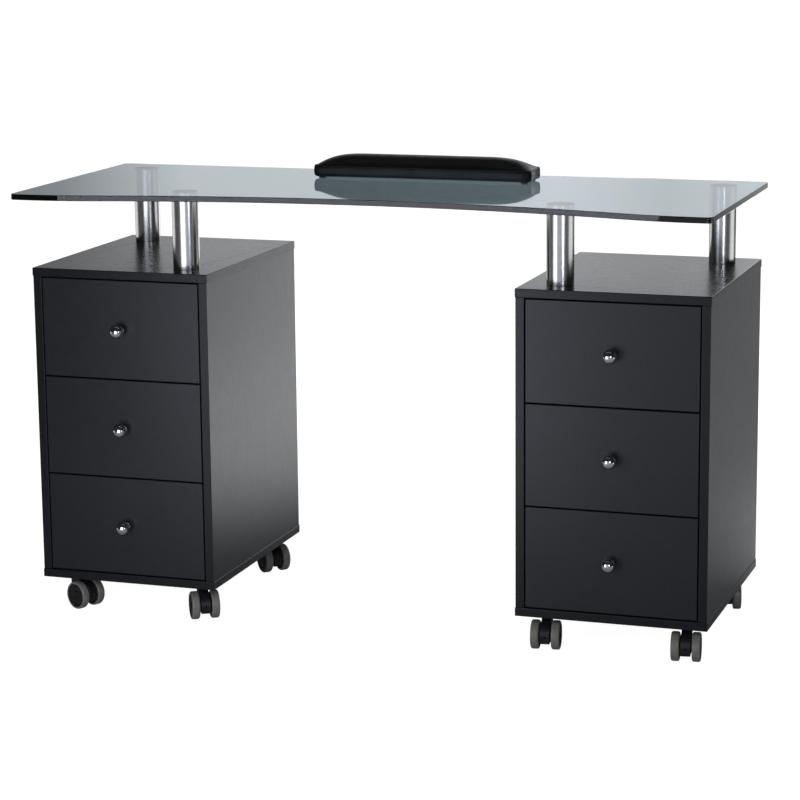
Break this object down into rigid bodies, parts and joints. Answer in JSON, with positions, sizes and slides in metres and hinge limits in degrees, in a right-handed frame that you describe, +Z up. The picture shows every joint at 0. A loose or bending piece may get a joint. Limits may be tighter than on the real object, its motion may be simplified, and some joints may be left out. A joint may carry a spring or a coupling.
{
  "type": "manicure table",
  "caption": "Manicure table with a tinted glass top on steel posts over two wheeled drawer cabinets, with knee space between them and a padded arm cushion on top.",
  "frame": {"origin": "on the floor, under the middle of the worktop", "axes": "+X along the table, -Y towards the side where the drawers open, +Z up"},
  "size_m": [1.228, 0.484, 0.803],
  "materials": {
    "tinted_glass": "clear dark tint",
    "steel_posts": "brushed lengthwise",
    "zinc_steel": "zinc plated",
    "black_laminate": "black melamine on particle board",
    "drawer_board": "black melamine on particle board",
    "painted_runners": "powder coat",
    "chrome_knobs": "polished",
    "black_plastic": "moulded nylon",
    "castor_treads": "grey tread on black discs",
    "black_leatherette": "satin leatherette"
  },
  "bodies": {
    "root": {"glass_top": "tinted_glass", "post_fixings": "zinc_steel", "left_posts": "steel_posts", "left_cabinet_top": "black_laminate", "left_cabinet_bottom": "black_laminate", "left_cabinet_inner_side": "black_laminate", "left_cabinet_outer_side": "black_laminate", "left_cabinet_back": "black_laminate", "left_runner_channels": "painted_runners", "left_castor_plates": "zinc_steel", "right_posts": "steel_posts", "right_cabinet_top": "black_laminate", "right_cabinet_bottom": "black_laminate", "right_cabinet_inner_side": "black_laminate", "right_cabinet_outer_side": "black_laminate", "right_cabinet_back": "black_laminate", "right_runner_channels": "painted_runners", "right_castor_plates": "zinc_steel"},
    "left_drawer_1": {"left_drawer_1_front": "black_laminate", "left_drawer_1_box": "drawer_board", "left_drawer_1_rails": "painted_runners", "left_drawer_1_knob": "chrome_knobs"},
    "left_drawer_2": {"left_drawer_2_front": "black_laminate", "left_drawer_2_box": "drawer_board", "left_drawer_2_rails": "painted_runners", "left_drawer_2_knob": "chrome_knobs"},
    "left_drawer_3": {"left_drawer_3_front": "black_laminate", "left_drawer_3_box": "drawer_board", "left_drawer_3_rails": "painted_runners", "left_drawer_3_knob": "chrome_knobs"},
    "right_drawer_1": {"right_drawer_1_front": "black_laminate", "right_drawer_1_box": "drawer_board", "right_drawer_1_rails": "painted_runners", "right_drawer_1_knob": "chrome_knobs"},
    "right_drawer_2": {"right_drawer_2_front": "black_laminate", "right_drawer_2_box": "drawer_board", "right_drawer_2_rails": "painted_runners", "right_drawer_2_knob": "chrome_knobs"},
    "right_drawer_3": {"right_drawer_3_front": "black_laminate", "right_drawer_3_box": "drawer_board", "right_drawer_3_rails": "painted_runners", "right_drawer_3_knob": "chrome_knobs"},
    "left_front_outer_castor": {"left_front_outer_castor_hood": "black_plastic"},
    "left_front_outer_wheels": {"left_front_outer_castor_wheels": "castor_treads"},
    "left_front_inner_castor": {"left_front_inner_castor_hood": "black_plastic"},
    "left_front_inner_wheels": {"left_front_inner_castor_wheels": "castor_treads"},
    "left_back_outer_castor": {"left_back_outer_castor_hood": "black_plastic"},
    "left_back_outer_wheels": {"left_back_outer_castor_wheels": "castor_treads"},
    "left_back_inner_castor": {"left_back_inner_castor_hood": "black_plastic"},
    "left_back_inner_wheels": {"left_back_inner_castor_wheels": "castor_treads"},
    "right_front_inner_castor": {"right_front_inner_castor_hood": "black_plastic"},
    "right_front_inner_wheels": {"right_front_inner_castor_wheels": "castor_treads"},
    "right_front_outer_castor": {"right_front_outer_castor_hood": "black_plastic"},
    "right_front_outer_wheels": {"right_front_outer_castor_wheels": "castor_treads"},
    "right_back_inner_castor": {"right_back_inner_castor_hood": "black_plastic"},
    "right_back_inner_wheels": {"right_back_inner_castor_wheels": "castor_treads"},
    "right_back_outer_castor": {"right_back_outer_castor_hood": "black_plastic"},
    "right_back_outer_wheels": {"right_back_outer_castor_wheels": "castor_treads"},
    "arm_cushion": {"cushion_pad": "black_leatherette", "cushion_base": "black_plastic"}
  },
  "joints": [
    {"name": "left_drawer_1_slide", "type": "slide", "parent": "root", "child": "left_drawer_1", "axis": [0, -1, 0], "range_m": [0, 0.28]},
    {"name": "left_drawer_2_slide", "type": "slide", "parent": "root", "child": "left_drawer_2", "axis": [0, -1, 0], "range_m": [0, 0.28]},
    {"name": "left_drawer_3_slide", "type": "slide", "parent": "root", "child": "left_drawer_3", "axis": [0, -1, 0], "range_m": [0, 0.28]},
    {"name": "right_drawer_1_slide", "type": "slide", "parent": "root", "child": "right_drawer_1", "axis": [0, -1, 0], "range_m": [0, 0.28]},
    {"name": "right_drawer_2_slide", "type": "slide", "parent": "root", "child": "right_drawer_2", "axis": [0, -1, 0], "range_m": [0, 0.28]},
    {"name": "right_drawer_3_slide", "type": "slide", "parent": "root", "child": "right_drawer_3", "axis": [0, -1, 0], "range_m": [0, 0.28]},
    {"name": "left_front_outer_swivel", "type": "hinge", "parent": "root", "child": "left_front_outer_castor", "pos_m": [-0.56, -0.135, 0.058], "axis": [0, 0, 1], "continuous": true},
    {"name": "left_front_outer_roll", "type": "hinge", "parent": "left_front_outer_castor", "child": "left_front_outer_wheels", "pos_m": [-0.54202, -0.14377, 0.025], "axis": [0.4384, 0.8988, 0], "continuous": true},
    {"name": "left_front_inner_swivel", "type": "hinge", "parent": "root", "child": "left_front_inner_castor", "pos_m": [-0.318, -0.135, 0.058], "axis": [0, 0, 1], "continuous": true},
    {"name": "left_front_inner_roll", "type": "hinge", "parent": "left_front_inner_castor", "child": "left_front_inner_wheels", "pos_m": [-0.3074, -0.15196, 0.025], "axis": [0.848, 0.5299, 0], "continuous": true},
    {"name": "left_back_outer_swivel", "type": "hinge", "parent": "root", "child": "left_back_outer_castor", "pos_m": [-0.56, 0.191, 0.058], "axis": [0, 0, 1], "continuous": true},
    {"name": "left_back_outer_roll", "type": "hinge", "parent": "left_back_outer_castor", "child": "left_back_outer_wheels", "pos_m": [-0.55316, 0.17221, 0.025], "axis": [0.9397, 0.342, 0], "continuous": true},
    {"name": "left_back_inner_swivel", "type": "hinge", "parent": "root", "child": "left_back_inner_castor", "pos_m": [-0.318, 0.191, 0.058], "axis": [0, 0, 1], "continuous": true},
    {"name": "left_back_inner_roll", "type": "hinge", "parent": "left_back_inner_castor", "child": "left_back_inner_wheels", "pos_m": [-0.30361, 0.17711, 0.025], "axis": [0.6947, 0.7193, 0], "continuous": true},
    {"name": "right_front_inner_swivel", "type": "hinge", "parent": "root", "child": "right_front_inner_castor", "pos_m": [0.318, -0.135, 0.058], "axis": [0, 0, 1], "continuous": true},
    {"name": "right_front_inner_roll", "type": "hinge", "parent": "right_front_inner_castor", "child": "right_front_inner_wheels", "pos_m": [0.32078, -0.1548, 0.025], "axis": [0.9903, 0.1392, 0], "continuous": true},
    {"name": "right_front_outer_swivel", "type": "hinge", "parent": "root", "child": "right_front_outer_castor", "pos_m": [0.56, -0.135, 0.058], "axis": [0, 0, 1], "continuous": true},
    {"name": "right_front_outer_roll", "type": "hinge", "parent": "right_front_outer_castor", "child": "right_front_outer_wheels", "pos_m": [0.56278, -0.1548, 0.025], "axis": [0.9903, 0.1392, 0], "continuous": true},
    {"name": "right_back_inner_swivel", "type": "hinge", "parent": "root", "child": "right_back_inner_castor", "pos_m": [0.318, 0.191, 0.058], "axis": [0, 0, 1], "continuous": true},
    {"name": "right_back_inner_roll", "type": "hinge", "parent": "right_back_inner_castor", "child": "right_back_inner_wheels", "pos_m": [0.31384, 0.17144, 0.025], "axis": [0.9781, -0.2079, 0], "continuous": true},
    {"name": "right_back_outer_swivel", "type": "hinge", "parent": "root", "child": "right_back_outer_castor", "pos_m": [0.56, 0.191, 0.058], "axis": [0, 0, 1], "continuous": true},
    {"name": "right_back_outer_roll", "type": "hinge", "parent": "right_back_outer_castor", "child": "right_back_outer_wheels", "pos_m": [0.56518, 0.17168, 0.025], "axis": [0.9659, 0.2588, 0], "continuous": true},
    {"name": "arm_cushion_lift", "type": "slide", "parent": "root", "child": "arm_cushion", "axis": [0, 0, 1], "range_m": [0, 0.12]}
  ]
}
